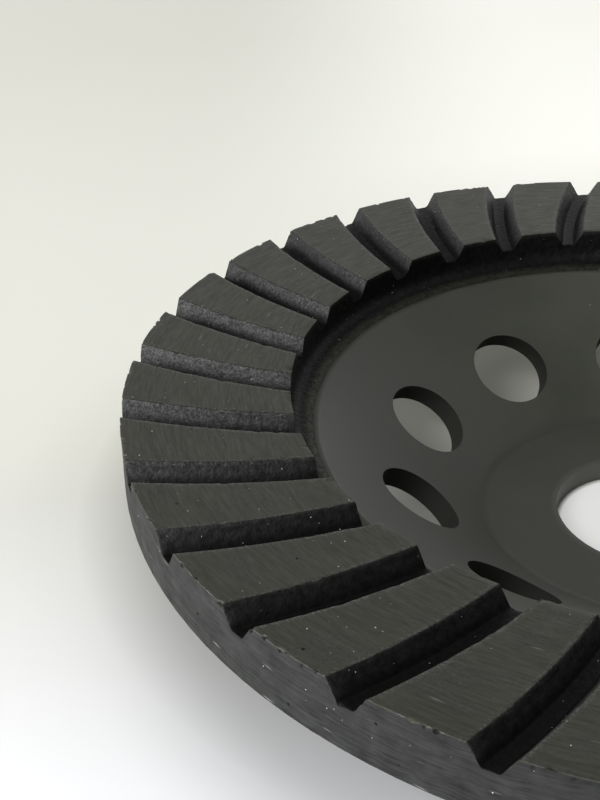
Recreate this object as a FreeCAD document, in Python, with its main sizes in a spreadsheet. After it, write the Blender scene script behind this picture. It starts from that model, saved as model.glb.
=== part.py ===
# Turbo cup grinding wheel: a pressed steel cup that carries a sintered grinding rim.
# The wheel lies on the back of its hub with the grinding face up.
# Origin: on the wheel's axis, at the back face of the hub. +Z runs along the axis, out of the cup.
import FreeCAD, Part
import Sketcher
import math
import os
from enum import IntEnum

document = FreeCAD.newDocument("cup_wheel")

# Driving dimensions, in millimetres and degrees
SIZES = (
    ("outer_diameter", 125.0, "across the rim"),
    ("overall_height", 20.5, "hub back face to grinding face"),
    ("sheet_thickness", 2.6, "wall of the pressed steel cup"),
    ("bore_diameter", 22.23, "spindle bore"),
    ("hub_diameter", 40.0, "flat hub floor inside the cup"),
    ("hub_bend_radius", 2.0, "inside radius of the two bends"),
    ("seat_edge_radius", 0.8, "edge of the cone at the flange"),
    ("seat_margin", 0.45, "bare flange between the cone and the rim's foot"),
    ("flange_edge_break", 0.4, "chamfer at the flange's outer back edge"),
    ("dust_hole_diameter", 10.5, "holes through the cone"),
    ("dust_hole_shift", 1.3, "hole centres, from the middle of the cone towards the hub"),
    ("dust_hole_count", 10, "holes round the cone"),
    ("rim_width", 19.25, "inner wall of the rim to its outer wall"),
    ("rim_depth", 5.0, "sintered layer above the flange"),
    ("foot_width", 2.7, "thin foot of the rim, inwards of its inner wall"),
    ("foot_height", 0.5, "thickness of that foot"),
    ("root_radius", 1.6, "fillet between the foot and the inner wall"),
    ("groove_count", 30, "grooves round the rim"),
    ("groove_width", 3.9, "across a groove at the grinding face"),
    ("groove_depth", 2.15, "grinding face to groove floor"),
    ("groove_floor_width", 1.5, "between the groove's walls at its floor"),
    ("groove_floor_radius", 0.3, "corner between wall and floor"),
    ("groove_slant", 18.0, "groove to spoke, at the middle of the rim"),
    ("groove_bow", 85.0, "radius of the groove's curved path"),
    ("groove_offset", 9.0, "turn of the first groove from the first hole"),
)

sheet = document.addObject("Spreadsheet::Sheet", "sizes")
sheet.Label = "driving_dimensions"
for row, (alias, value, meaning) in enumerate(SIZES, start=1):
    sheet.set(f"A{row}", alias.replace("_", " "))
    sheet.set(f"B{row}", str(value))
    sheet.set(f"C{row}", meaning)
    sheet.setAlias(f"B{row}", alias)
document.recompute()

# Heights and radii that several pieces share, as expressions of the driving dimensions
SEAT_HEIGHT = "(sizes.overall_height - sizes.rim_depth)"
OUTER_RADIUS = "(sizes.outer_diameter / 2)"
RIM_INNER_RADIUS = f"({OUTER_RADIUS} - sizes.rim_width)"
HUB_RADIUS = "(sizes.hub_diameter / 2)"
CONE_RADIUS = f"({RIM_INNER_RADIUS} - sizes.foot_width - sizes.seat_margin)"
CONE_RUN = f"({CONE_RADIUS} - {HUB_RADIUS})"
CONE_RISE = f"({SEAT_HEIGHT} - sizes.sheet_thickness)"
CONE_ANGLE = f"(atan({CONE_RISE} / {CONE_RUN}))"
GROOVE_DRAFT = "(atan((sizes.groove_width - sizes.groove_floor_width) / 2 / sizes.groove_depth))"


# Numbers of the points on a sketched edge and of a sketch's two axes
Point = IntEnum("Point", "START END CENTRE")
ACROSS_AXIS = -1
UP_AXIS = -2
ORIGIN = (ACROSS_AXIS, Point.START)

# Two heights closer than this are the same
SAME_PLACE = 0.0001


def new_body(label):
    body = document.addObject("PartDesign::Body", label)
    body.Label = label
    return body


def new_sketch(body, name, role):
    """An empty sketch on one of the body's own origin planes."""
    sketch = body.newObject("Sketcher::SketchObject", name)
    plane = next(item for item in body.Origin.OriginFeatures if item.Role == role)
    sketch.AttachmentSupport = [(plane, "")]
    sketch.MapMode = "FlatFace"
    return sketch


def add_outline(sketch, points):
    """Closed outline of straight edges; edge number i starts at point number i."""
    vectors = [FreeCAD.Vector(x, y, 0) for x, y in points]
    for index, vector in enumerate(vectors):
        following = vectors[(index + 1) % len(vectors)]
        sketch.addGeometry(Part.LineSegment(vector, following), False)
    for index in range(len(vectors)):
        following = (index + 1) % len(vectors)
        sketch.addConstraint(Sketcher.Constraint("Coincident", index, Point.END, following, Point.START))


def add_size(sketch, name, expression, kind, *target):
    """A named dimension of the sketch, bound to the driving dimensions."""
    index = sketch.addConstraint(Sketcher.Constraint(kind, *target, value_of(sketch, expression)))
    sketch.renameConstraint(index, name)
    sketch.setExpression(f"Constraints.{name}", expression)


def value_of(owner, expression):
    result = owner.evalExpression(expression)
    return getattr(result, "Value", result)


def circle_edge(shape, radius, height):
    """Name of the circular edge with this radius at this height."""
    for number, edge in enumerate(shape.Edges, start=1):
        curve = edge.Curve
        if not isinstance(curve, Part.Circle):
            continue
        if math.isclose(curve.Radius, radius) and math.isclose(curve.Center.z, height, abs_tol=SAME_PLACE):
            return f"Edge{number}"
    raise RuntimeError(f"no edge of radius {radius} at height {height}")


def dress_edge(body, kind, name, radius, height, size_name, size_expression):
    """A fillet or chamfer along one circular edge of the body's present shape."""
    base = body.Tip
    feature = body.newObject(kind, name)
    feature.Base = (base, [circle_edge(base.Shape, radius, height)])
    feature.setExpression(size_name, size_expression)
    document.recompute()
    return feature


def revolve(body, sketch, name):
    feature = body.newObject("PartDesign::Revolution", name)
    feature.Profile = sketch
    feature.ReferenceAxis = (sketch, ["V_Axis"])
    feature.Angle = 360
    sketch.Visibility = False
    document.recompute()
    return feature


def pattern_around_axis(body, name, feature, count_expression):
    """Repeats a cut at even steps round the wheel's axis, and makes the result the body's tip."""
    axis = next(item for item in body.Origin.OriginFeatures if item.Role == "Z_Axis")
    pattern = body.newObject("PartDesign::PolarPattern", name)
    pattern.Originals = [feature]
    pattern.Axis = (axis, [""])
    pattern.Angle = 360
    pattern.setExpression("Occurrences", count_expression)
    body.Tip = pattern
    before = feature.Shape.Volume
    document.recompute()
    assert pattern.Shape.Volume < before, f"{name} cuts nothing"
    return pattern


# Steel cup: flat hub, cone and flange, pressed from one sheet
def make_cup():
    body = new_body("steel_cup")
    sketch = new_sketch(body, "cup_section", "XZ_Plane")

    thickness = value_of(sheet, "sizes.sheet_thickness")
    bore = value_of(sheet, "sizes.bore_diameter / 2")
    hub = value_of(sheet, HUB_RADIUS)
    cone = value_of(sheet, CONE_RADIUS)
    outer = value_of(sheet, OUTER_RADIUS)
    seat = value_of(sheet, SEAT_HEIGHT)
    bend_shift = thickness * math.tan(math.radians(value_of(sheet, CONE_ANGLE)) / 2)
    add_outline(sketch, (
        (bore, thickness),
        (hub, thickness),
        (cone, seat),
        (outer, seat),
        (outer, seat - thickness),
        (cone + bend_shift, seat - thickness),
        (hub + bend_shift, 0),
        (bore, 0),
    ))
    (hub_floor, cone_inside, flange_top, flange_edge,
     flange_back, cone_back, hub_back, bore_wall) = range(8)
    for edge in (hub_floor, flange_top, flange_back, hub_back):
        sketch.addConstraint(Sketcher.Constraint("Horizontal", edge))
    for edge in (flange_edge, bore_wall):
        sketch.addConstraint(Sketcher.Constraint("Vertical", edge))
    sketch.addConstraint(Sketcher.Constraint("Parallel", cone_inside, cone_back))
    sketch.addConstraint(Sketcher.Constraint("PointOnObject", hub_back, Point.END, ACROSS_AXIS))
    add_size(sketch, "bore_radius", "sizes.bore_diameter / 2",
             "DistanceX", *ORIGIN, hub_back, Point.END)
    add_size(sketch, "hub_radius", HUB_RADIUS, "DistanceX", *ORIGIN, hub_floor, Point.END)
    add_size(sketch, "cone_radius", CONE_RADIUS, "DistanceX", *ORIGIN, cone_inside, Point.END)
    add_size(sketch, "outer_radius", OUTER_RADIUS, "DistanceX", *ORIGIN, flange_top, Point.END)
    add_size(sketch, "seat_height", SEAT_HEIGHT, "DistanceY", *ORIGIN, cone_inside, Point.END)
    add_size(sketch, "hub_thickness", "sizes.sheet_thickness",
             "DistanceY", bore_wall, Point.START, bore_wall, Point.END)
    add_size(sketch, "flange_thickness", "sizes.sheet_thickness",
             "DistanceY", flange_edge, Point.END, flange_edge, Point.START)
    add_size(sketch, "cone_thickness", "sizes.sheet_thickness",
             "Distance", cone_back, Point.END, cone_inside)
    document.recompute()
    revolve(body, sketch, "pressed_sheet")

    # The hub bend: small radius inside the cup, that radius plus the sheet behind it
    dress_edge(body, "PartDesign::Fillet", "hub_bend_inside", hub, thickness,
               "Radius", "sizes.hub_bend_radius")
    dress_edge(body, "PartDesign::Fillet", "hub_bend_back", hub + bend_shift, 0,
               "Radius", "sizes.hub_bend_radius + sizes.sheet_thickness")
    # The flange bend: its face side is turned nearly sharp as the seat of the rim
    dress_edge(body, "PartDesign::Fillet", "flange_bend_back", cone + bend_shift, seat - thickness,
               "Radius", "sizes.hub_bend_radius")
    dress_edge(body, "PartDesign::Fillet", "seat_edge", cone, seat,
               "Radius", "sizes.seat_edge_radius")
    dress_edge(body, "PartDesign::Chamfer", "flange_edge_break", outer, seat - thickness,
               "Size", "sizes.flange_edge_break")
    cut_dust_holes(body)
    return body


def cut_dust_holes(body):
    """Round holes pierced square to the cone, evenly spaced on one pitch circle."""
    sketch = new_sketch(body, "dust_hole_circle", "XY_Plane")
    pitch_radius = f"(({HUB_RADIUS} + {CONE_RADIUS}) / 2 - sizes.dust_hole_shift)"
    height = f"sizes.sheet_thickness + ({pitch_radius} - {HUB_RADIUS}) * {CONE_RISE} / {CONE_RUN}"
    sketch.AttachmentOffset = FreeCAD.Placement(
        FreeCAD.Vector(0, 0, 0), FreeCAD.Rotation(FreeCAD.Vector(0, 1, 0), -1))
    sketch.setExpression("AttachmentOffset.Base.x", pitch_radius)
    sketch.setExpression("AttachmentOffset.Base.z", height)
    sketch.setExpression("AttachmentOffset.Rotation.Angle", f"-{CONE_ANGLE}")
    radius = value_of(sheet, "sizes.dust_hole_diameter / 2")
    circle = sketch.addGeometry(Part.Circle(FreeCAD.Vector(0, 0, 0), FreeCAD.Vector(0, 0, 1), radius))
    sketch.addConstraint(Sketcher.Constraint("Coincident", circle, Point.CENTRE, *ORIGIN))
    add_size(sketch, "hole_diameter", "sizes.dust_hole_diameter", "Diameter", circle)
    document.recompute()

    before = body.Tip.Shape.Volume
    hole = body.newObject("PartDesign::Pocket", "dust_hole")
    hole.Profile = sketch
    hole.Midplane = True
    hole.setExpression("Length", "6 * sizes.sheet_thickness")
    sketch.Visibility = False
    document.recompute()
    assert hole.Shape.Volume < before, "the dust hole cuts nothing"
    pattern_around_axis(body, "dust_holes", hole, "sizes.dust_hole_count")


# Sintered rim: one ring of grinding composite with curved grooves across its face
def make_rim():
    body = new_body("sintered_rim")
    sketch = new_sketch(body, "rim_section", "XZ_Plane")

    inner = value_of(sheet, RIM_INNER_RADIUS)
    outer = value_of(sheet, OUTER_RADIUS)
    seat = value_of(sheet, SEAT_HEIGHT)
    face = value_of(sheet, "sizes.overall_height")
    foot_width = value_of(sheet, "sizes.foot_width")
    foot_height = value_of(sheet, "sizes.foot_height")
    add_outline(sketch, (
        (inner - foot_width, seat),
        (outer, seat),
        (outer, face),
        (inner, face),
        (inner, seat + foot_height),
        (inner - foot_width, seat + foot_height),
    ))
    base, outer_wall, grinding_face, inner_wall, foot_top, foot_edge = range(6)
    for edge in (base, grinding_face, foot_top):
        sketch.addConstraint(Sketcher.Constraint("Horizontal", edge))
    for edge in (outer_wall, inner_wall, foot_edge):
        sketch.addConstraint(Sketcher.Constraint("Vertical", edge))
    add_size(sketch, "seat_height", SEAT_HEIGHT, "DistanceY", *ORIGIN, base, Point.START)
    add_size(sketch, "outer_radius", OUTER_RADIUS, "DistanceX", *ORIGIN, base, Point.END)
    add_size(sketch, "rim_depth", "sizes.rim_depth",
             "DistanceY", outer_wall, Point.START, outer_wall, Point.END)
    add_size(sketch, "rim_width", "sizes.rim_width",
             "DistanceX", grinding_face, Point.END, grinding_face, Point.START)
    add_size(sketch, "foot_height", "sizes.foot_height",
             "DistanceY", foot_edge, Point.END, foot_edge, Point.START)
    add_size(sketch, "foot_width", "sizes.foot_width",
             "DistanceX", foot_top, Point.END, foot_top, Point.START)
    document.recompute()
    revolve(body, sketch, "rim_ring")
    dress_edge(body, "PartDesign::Fillet", "root_fillet", inner, seat + foot_height,
               "Radius", "sizes.root_radius")
    cut_grooves(body)
    body.Placement = FreeCAD.Placement(
        FreeCAD.Vector(0, 0, 0), FreeCAD.Rotation(FreeCAD.Vector(0, 0, 1), 1))
    body.setExpression("Placement.Rotation.Angle", "sizes.groove_offset")
    return body


def cut_grooves(body):
    """Drafted grooves that cross the rim along arcs, like the vanes of an impeller.

    The section stands square to the path at the middle of the rim. It is turned about an
    upright axis at the centre of the path's arc, so the groove is a true curved slot.
    """
    sketch = new_sketch(body, "groove_section", "YZ_Plane")
    sketch.AttachmentOffset = FreeCAD.Placement(
        FreeCAD.Vector(0, 0, 0), FreeCAD.Rotation(FreeCAD.Vector(0, 1, 0), -1))
    sketch.setExpression("AttachmentOffset.Base.z", f"({OUTER_RADIUS} + {RIM_INNER_RADIUS}) / 2")
    sketch.setExpression("AttachmentOffset.Rotation.Angle", "-sizes.groove_slant")

    # The section runs on above the grinding face by half of the groove's depth
    lid_height = "sizes.overall_height + sizes.groove_depth / 2"
    lid_width = "sizes.groove_width + (sizes.groove_width - sizes.groove_floor_width) / 2"
    # Each corner arc takes the same reach from the floor and from the wall
    corner_reach = f"(sizes.groove_floor_radius * tan(45 deg - {GROOVE_DRAFT} / 2))"
    floor_flat = f"sizes.groove_floor_width - 2 * {corner_reach}"

    top = value_of(sheet, lid_height)
    half_top = value_of(sheet, lid_width) / 2
    draft = math.radians(value_of(sheet, GROOVE_DRAFT))
    radius = value_of(sheet, "sizes.groove_floor_radius")
    reach = value_of(sheet, corner_reach)
    flat = value_of(sheet, floor_flat) / 2
    face = value_of(sheet, "sizes.overall_height")
    floor = face - value_of(sheet, "sizes.groove_depth")
    wall_x = flat + reach + reach * math.sin(draft)
    wall_z = floor + reach * math.cos(draft)

    def at(x, z):
        return FreeCAD.Vector(x, z, 0)

    right_arc = Part.ArcOfCircle(
        Part.Circle(at(flat, floor + radius), FreeCAD.Vector(0, 0, 1), radius), -math.pi / 2, -draft)
    left_arc = Part.ArcOfCircle(
        Part.Circle(at(-flat, floor + radius), FreeCAD.Vector(0, 0, 1), radius),
        math.pi + draft, 3 * math.pi / 2)
    lid = sketch.addGeometry(Part.LineSegment(at(half_top, top), at(-half_top, top)))
    left_wall = sketch.addGeometry(Part.LineSegment(at(-half_top, top), at(-wall_x, wall_z)))
    left_corner = sketch.addGeometry(left_arc)
    bottom = sketch.addGeometry(Part.LineSegment(at(-flat, floor), at(flat, floor)))
    right_corner = sketch.addGeometry(right_arc)
    right_wall = sketch.addGeometry(Part.LineSegment(at(wall_x, wall_z), at(half_top, top)))
    for kind, first, second in (
        ("Coincident", lid, left_wall),
        ("Tangent", left_wall, left_corner),
        ("Tangent", left_corner, bottom),
        ("Tangent", bottom, right_corner),
        ("Tangent", right_corner, right_wall),
        ("Coincident", right_wall, lid),
    ):
        sketch.addConstraint(Sketcher.Constraint(kind, first, Point.END, second, Point.START))
    sketch.addConstraint(Sketcher.Constraint("Equal", left_corner, right_corner))
    for edge in (lid, bottom):
        sketch.addConstraint(
            Sketcher.Constraint("Symmetric", edge, Point.START, edge, Point.END, UP_AXIS))
    add_size(sketch, "floor_radius", "sizes.groove_floor_radius", "Radius", right_corner)
    add_size(sketch, "floor_height", "sizes.overall_height - sizes.groove_depth",
             "DistanceY", *ORIGIN, bottom, Point.START)
    add_size(sketch, "floor_flat", floor_flat, "DistanceX", bottom, Point.START, bottom, Point.END)
    add_size(sketch, "lid_height", lid_height, "DistanceY", *ORIGIN, lid, Point.START)
    add_size(sketch, "lid_width", lid_width, "DistanceX", lid, Point.END, lid, Point.START)

    # Upright axis at the centre of the groove's curved path
    bow = value_of(sheet, "sizes.groove_bow")
    axis = sketch.addGeometry(Part.LineSegment(at(-bow, 0), at(-bow, face)), True)
    sketch.addConstraint(Sketcher.Constraint("Vertical", axis))
    sketch.addConstraint(Sketcher.Constraint("PointOnObject", axis, Point.START, ACROSS_AXIS))
    add_size(sketch, "bow_radius", "sizes.groove_bow", "DistanceX", axis, Point.START, *ORIGIN)
    add_size(sketch, "axis_height", "sizes.overall_height",
             "DistanceY", axis, Point.START, axis, Point.END)
    document.recompute()

    before = body.Tip.Shape.Volume
    groove = body.newObject("PartDesign::Groove", "turbo_groove")
    groove.Profile = sketch
    groove.ReferenceAxis = (sketch, ["Axis0"])
    groove.Midplane = True
    # Long enough to run out of the rim at both of its walls
    path_length = "(sizes.rim_width + 2 * sizes.groove_width) / cos(sizes.groove_slant)"
    groove.setExpression("Angle", f"{path_length} / sizes.groove_bow * 180 / pi")
    sketch.Visibility = False
    document.recompute()
    assert groove.Shape.Volume < before, "the groove cuts nothing"
    pattern_around_axis(body, "turbo_grooves", groove, "sizes.groove_count")


pieces = [make_cup(), make_rim()]
document.recompute()

for item in document.Objects:
    bad_states = {"Invalid", "Error"} & set(item.State)
    assert not bad_states, f"{item.Label}: {item.State}"
for piece in pieces:
    shape = piece.Shape
    assert not shape.isNull() and shape.isValid(), f"{piece.Label} is not a sound shape"
    assert len(shape.Solids) == 1, f"{piece.Label} has {len(shape.Solids)} solids"

os.makedirs("parts", exist_ok=True)
for piece in pieces:
    piece.Shape.exportStep(f"parts/{piece.Label}.step")
    box = piece.Shape.optimalBoundingBox(False)
    print(f"{piece.Label}: {piece.Shape.Volume:.0f} mm3, "
          f"{box.XLength:.2f} x {box.YLength:.2f} x {box.ZLength:.2f} mm, from z = {box.ZMin:.2f}")
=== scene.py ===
# %% [markdown]
# # A turbo cup grinding wheel
# The real wheel is a shallow cup, pressed from steel sheet, with a ring of sintered grinding
# composite on its flange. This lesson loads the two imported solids. Then it gives the ring its rough
# grooves, worn edges and grit in mesh code, and gives both parts their finishes.
# Sizes are named in millimetres, as a maker writes them, and MM turns them into Blender's metres.

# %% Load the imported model
import bmesh
import bpy
import math
import random
from mathutils import Matrix, Vector, noise


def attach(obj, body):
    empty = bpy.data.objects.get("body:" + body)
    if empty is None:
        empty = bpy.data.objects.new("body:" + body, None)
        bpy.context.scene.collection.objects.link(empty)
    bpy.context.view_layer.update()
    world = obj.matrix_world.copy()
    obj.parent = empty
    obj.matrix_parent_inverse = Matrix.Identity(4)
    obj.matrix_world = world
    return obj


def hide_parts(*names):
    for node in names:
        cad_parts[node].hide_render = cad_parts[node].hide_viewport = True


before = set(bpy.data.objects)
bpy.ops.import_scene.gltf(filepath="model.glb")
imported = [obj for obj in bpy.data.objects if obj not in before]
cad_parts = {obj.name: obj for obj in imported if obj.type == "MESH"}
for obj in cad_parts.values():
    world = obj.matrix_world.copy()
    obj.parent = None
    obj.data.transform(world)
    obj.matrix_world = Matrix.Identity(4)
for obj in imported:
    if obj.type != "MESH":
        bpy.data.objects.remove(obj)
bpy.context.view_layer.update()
MM = 0.001

# %% [markdown]
# ## The camera
# The picture was taken from very near, about 150 mm from the wheel. That nearness is what makes the
# front segments look so much larger than the far ones, so this camera stands at the same distance.
# It looks down at the left part of the wheel, which runs out of the picture at the right and below.
# The lens is off the picture's centre by a small shift, because the picture is a crop.

# %% Camera
PICTURE_WIDTH, PICTURE_HEIGHT = 600, 800
LENS_CENTRE = (264.0, 379.8)
FOCAL_PIXELS = 1293.3
SENSOR = 36.0
CAMERA_DISTANCE = 150.06
CAMERA_TARGET = Vector((-45.29, 9.79, 20.5))
NEAREST_SEEN = 5
azimuth, elevation, roll = (math.radians(angle) for angle in (-8.30, 29.89, -1.62))

backwards = Vector((
    math.sin(azimuth) * math.cos(elevation),
    -math.cos(azimuth) * math.cos(elevation),
    math.sin(elevation),
))
level = Vector((0, 0, 1)).cross(backwards).normalized()
upright = backwards.cross(level)
right = level * math.cos(roll) + upright * math.sin(roll)
up = upright * math.cos(roll) - level * math.sin(roll)
stand = (CAMERA_TARGET + backwards * CAMERA_DISTANCE) * MM

camera = bpy.data.objects.new("camera", bpy.data.cameras.new("camera"))
bpy.context.collection.objects.link(camera)
camera.data.sensor_width = SENSOR
camera.data.lens = FOCAL_PIXELS / PICTURE_HEIGHT * SENSOR
camera.data.shift_x = (PICTURE_WIDTH / 2 - LENS_CENTRE[0]) / PICTURE_HEIGHT
camera.data.shift_y = (LENS_CENTRE[1] - PICTURE_HEIGHT / 2) / PICTURE_HEIGHT
camera.data.clip_start = NEAREST_SEEN * MM
camera.matrix_world = Matrix.Translation(stand) @ Matrix((right, up, backwards)).transposed().to_4x4()
bpy.context.scene.camera = camera
print("camera stands at, mm:", [round(value / MM, 1) for value in stand])

# %% [markdown]
# ## Helpers for colour and nodes
# A maker reads a colour off a chart as an sRGB hex value. Blender's nodes work in linear light, so
# one function turns the first into the second. A second function adds a node to a material, with
# its settings and with what feeds its sockets. It gives back one output of the node, for the next
# node to take. Where a node has several that are needed, .node.outputs after it gives them all.

# %% Colour and node helpers
MATH = "ShaderNodeMath"
VECTOR = "ShaderNodeVectorMath"
RANGE = "ShaderNodeMapRange"
MIX = "ShaderNodeMix"
NOISE = "ShaderNodeTexNoise"
SPLIT = "ShaderNodeSeparateXYZ"


def linear(hex_colour, alpha=1.0):
    """The linear colour of an sRGB hex value such as "#52534d"."""
    channels = [int(hex_colour[place:place + 2], 16) / 255 for place in (1, 3, 5)]
    return tuple(
        channel / 12.92 if channel <= 0.04045 else ((channel + 0.055) / 1.055) ** 2.4
        for channel in channels
    ) + (alpha,)


def add_node(tree, kind, inputs=(), output=None, **settings):
    """One output of a new node. inputs fills its sockets, by name or in their order, each with a
    value or with the output that feeds it."""
    node = tree.nodes.new(kind)
    for name, value in settings.items():
        setattr(node, name, value)
    if isinstance(inputs, dict):
        filled = [(node.inputs[name], value) for name, value in inputs.items()]
    else:
        filled = zip([socket for socket in node.inputs if socket.enabled], inputs)
    for socket, value in filled:
        if isinstance(value, bpy.types.NodeSocket):
            tree.links.new(value, socket)
        else:
            socket.default_value = value
    if output:
        return node.outputs[output]
    return next(socket for socket in node.outputs if socket.enabled)


def new_material(name, values):
    """A new node material, its tree, and its shader with these values on the shader's own sockets."""
    material = bpy.data.materials.new(name)
    material.use_nodes = True
    shader = material.node_tree.nodes["Principled BSDF"]
    for socket, value in values.items():
        shader.inputs[socket].default_value = value
    return material, material.node_tree, shader


def feed(tree, shader, sources):
    """Links each of these outputs to the shader's socket of that name."""
    for socket, source in sources.items():
        tree.links.new(source, shader.inputs[socket])


print("mid grey in linear light:", [round(value, 3) for value in linear("#808080")])

# %% [markdown]
# ## Floor and light
# The wheel rests on its hub on a pale, matt sheet. The sheet also glows a little, for the camera and
# for mirror-like rays alone: behind the wheel towards the right, in front of it at the left, and
# under the bore. So it comes out nearly white there, and the wheel gets no more light from it. Right
# under the wheel the sheet is toned darker, as the picture's shadow is deeper there than these lamps
# leave it.
# Soft boxes stand in a half circle from the front left, round the back, to the right. The front right
# has none, so tops and left sides are light and the groove walls that face the viewer stay nearly
# black. The lamps are set so that a colour renders about as it is written.

# %% Floor
FLOOR_SIZE = 12.0
half = FLOOR_SIZE / 2
floor_mesh = bpy.data.meshes.new("floor")
floor_mesh.from_pydata(
    [(-half, -half, 0), (half, -half, 0), (half, half, 0), (-half, half, 0)], [], [(0, 1, 2, 3)])
floor = bpy.data.objects.new("floor", floor_mesh)
bpy.context.collection.objects.link(floor)
print("floor, m:", FLOOR_SIZE)

# %% [markdown]
# ## The sheet's tone and glow
# Matt paper has hardly any gloss. Its white is painted a little warmer towards the back, as the warm
# light that falls there, and a little cooler in front, as cool shade. Its tone and its glow could be
# painted as an image. Here both are worked out from distances, along the sheet or from the wheel's
# axis, so each part can be moved by its own number. The Light Path node tells which rays come from the
# camera.

# %% Tone of the sheet
UNDER_HOLES, UNDER_RING = 0.72, 0.62
SHADE_CENTRE = Vector((-8, 10, 0)) * MM
# Each pair of distances says where a change begins and where it is full
COOL_TO_WARM = (-30 * MM, 30 * MM)
HOLES_TO_RING = (38 * MM, 48 * MM)
SHADE_EDGE = (50 * MM, 61 * MM)
paper, tree, shader = new_material("matt_paper", {
    "Roughness": 0.9, "Specular IOR Level": 0.2, "Emission Color": linear("#ffffff")})
place = add_node(tree, "ShaderNodeTexCoord", output="Object")
sides = add_node(tree, SPLIT, [place]).node.outputs
from_axis = add_node(tree, VECTOR, [place], operation="LENGTH")

# Painted light: the sheet is warmer towards the back for the warm light there, and cooler in front for
# cool shade
warm_light_share = add_node(tree, RANGE, [sides["Y"], *COOL_TO_WARM])
sheet = add_node(tree, MIX, [warm_light_share, linear("#ebecee"), linear("#efefe4")], data_type="RGBA")
from_shade = add_node(tree, VECTOR, [place, SHADE_CENTRE], operation="DISTANCE")
in_open = add_node(tree, RANGE, [from_shade, *SHADE_EDGE])
under = add_node(tree, RANGE, [from_axis, *HOLES_TO_RING, UNDER_HOLES, UNDER_RING])
shade = add_node(tree, MIX, [in_open, under, 1.0])
shaded = add_node(tree, VECTOR, [sheet, shade], operation="SCALE")
print("sheet under the wheel is toned down to:", UNDER_RING)

# %% Glow of the sheet
GLOW_BEHIND = 0.26
GLOW_IN_FRONT = 0.31
GLOW_IN_BORE = 0.43
GLOW_IN_OPEN = 0.11
FAR_PART_OF_OPEN = 0.45
RIGHTWARD_SLANT = 0.2
FAR_BACK = (60 * MM, 130 * MM)
RIGHTWARDS = (-75 * MM, 25 * MM)
NEAR_SIDE = (20 * MM, -35 * MM)
PAST_RING = (56 * MM, 71 * MM)
BORE_EDGE = (10.4 * MM, 11.0 * MM)
FAR_OPEN = (100 * MM, 230 * MM)
OPEN_EDGE = (60 * MM, 85 * MM)
slant = add_node(tree, MATH, [sides["Y"], RIGHTWARD_SLANT], operation="MULTIPLY")
to_the_right = add_node(tree, MATH, [sides["X"], slant], operation="SUBTRACT")
far_back = add_node(tree, RANGE, [sides["Y"], *FAR_BACK])
far_right = add_node(
    tree, RANGE, [to_the_right, *RIGHTWARDS, 0.0, GLOW_BEHIND], interpolation_type="SMOOTHSTEP")
behind = add_node(tree, MATH, [far_back, far_right], operation="MULTIPLY")
near_side = add_node(tree, RANGE, [sides["Y"], *NEAR_SIDE])
outside = add_node(
    tree, RANGE, [from_axis, *PAST_RING, 0.0, GLOW_IN_FRONT], interpolation_type="SMOOTHSTEP")
in_front = add_node(tree, MATH, [near_side, outside], operation="MULTIPLY")
in_bore = add_node(tree, RANGE, [from_axis, *BORE_EDGE, GLOW_IN_BORE, 0.0])
not_too_far = add_node(tree, RANGE, [sides["Y"], *FAR_OPEN, 1.0, FAR_PART_OF_OPEN])
past_wheel = add_node(
    tree, RANGE, [from_axis, *OPEN_EDGE, 0.0, GLOW_IN_OPEN], interpolation_type="SMOOTHSTEP")
open_sheet = add_node(tree, MATH, [not_too_far, past_wheel], operation="MULTIPLY")
outer_glow = add_node(tree, MATH, [behind, in_front], operation="ADD")
inner_glow = add_node(tree, MATH, [in_bore, open_sheet], operation="ADD")
glow = add_node(tree, MATH, [outer_glow, inner_glow], operation="ADD")

ray = add_node(tree, "ShaderNodeLightPath").node.outputs
mirrored = add_node(
    tree, MATH, [ray["Is Glossy Ray"], ray["Is Transmission Ray"]], operation="MAXIMUM")
seen = add_node(tree, MATH, [ray["Is Camera Ray"], mirrored], operation="MAXIMUM")
seen_glow = add_node(tree, MATH, [glow, seen], operation="MULTIPLY")
feed(tree, shader, {"Base Color": shaded, "Emission Strength": seen_glow})
floor_mesh.materials.append(paper)
print("floor: material", paper.name)

# %% [markdown]
# ## The soft boxes
# Each soft box is a rectangular area lamp that faces the wheel from 1.6 m away. A loop over one table
# makes them all, so the whole light can be read and changed in one place. The room itself is dark.

# %% Lamps and room
LAMP_DISTANCE = 1.6
# Name, bearing from +X and rise in degrees, width and height in metres, power in watts
SOFT_BOXES = (
    ("left_soft_box", 180, 12, 1.2, 0.7, 24.0),
    ("front_left_soft_box", 215, 35, 1.0, 0.9, 18.8),
    ("overhead_soft_box", 90, 80, 1.4, 1.4, 2.5),
    ("low_back_soft_box", 90, 10, 2.6, 0.6, 4.8),
    ("high_back_soft_box", 90, 35, 2.4, 0.8, 3.2),
    ("back_right_soft_box", 45, 12, 1.2, 0.7, 2.9),
    ("right_soft_box", 10, 35, 1.2, 1.0, 3.1),
)
for name, bearing, rise, wide, high, power in SOFT_BOXES:
    lamp = bpy.data.lights.new(name, "AREA")
    lamp.shape = "RECTANGLE"
    lamp.size, lamp.size_y = wide, high
    lamp.energy = power
    holder = bpy.data.objects.new(name, lamp)
    bpy.context.collection.objects.link(holder)
    turn, lift = math.radians(bearing), math.radians(rise)
    towards = Vector((
        math.cos(turn) * math.cos(lift), math.sin(turn) * math.cos(lift), math.sin(lift)))
    holder.location = towards * LAMP_DISTANCE
    holder.rotation_euler = towards.to_track_quat("Z", "Y").to_euler()

room = bpy.data.worlds.new("room")
room.use_nodes = True
room.node_tree.nodes["Background"].inputs["Color"].default_value = linear("#ffffff")
room.node_tree.nodes["Background"].inputs["Strength"].default_value = 0.0
bpy.context.scene.world = room
bpy.context.scene.view_settings.view_transform = "Standard"

# %% [markdown]
# ## The grooved ring: its path and section
# The real ring is pressed from metal powder and diamond grit in a graphite mould, and sintered onto
# the flange. Thirty curved grooves cross it. A groove's path is an arc of 85 mm radius, set 18 degrees
# off the spoke at the middle of the ring. A mesh whose rows follow the ring and whose columns follow
# the grooves keeps every edge crisp, which a remeshed block wouldn't.

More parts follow.
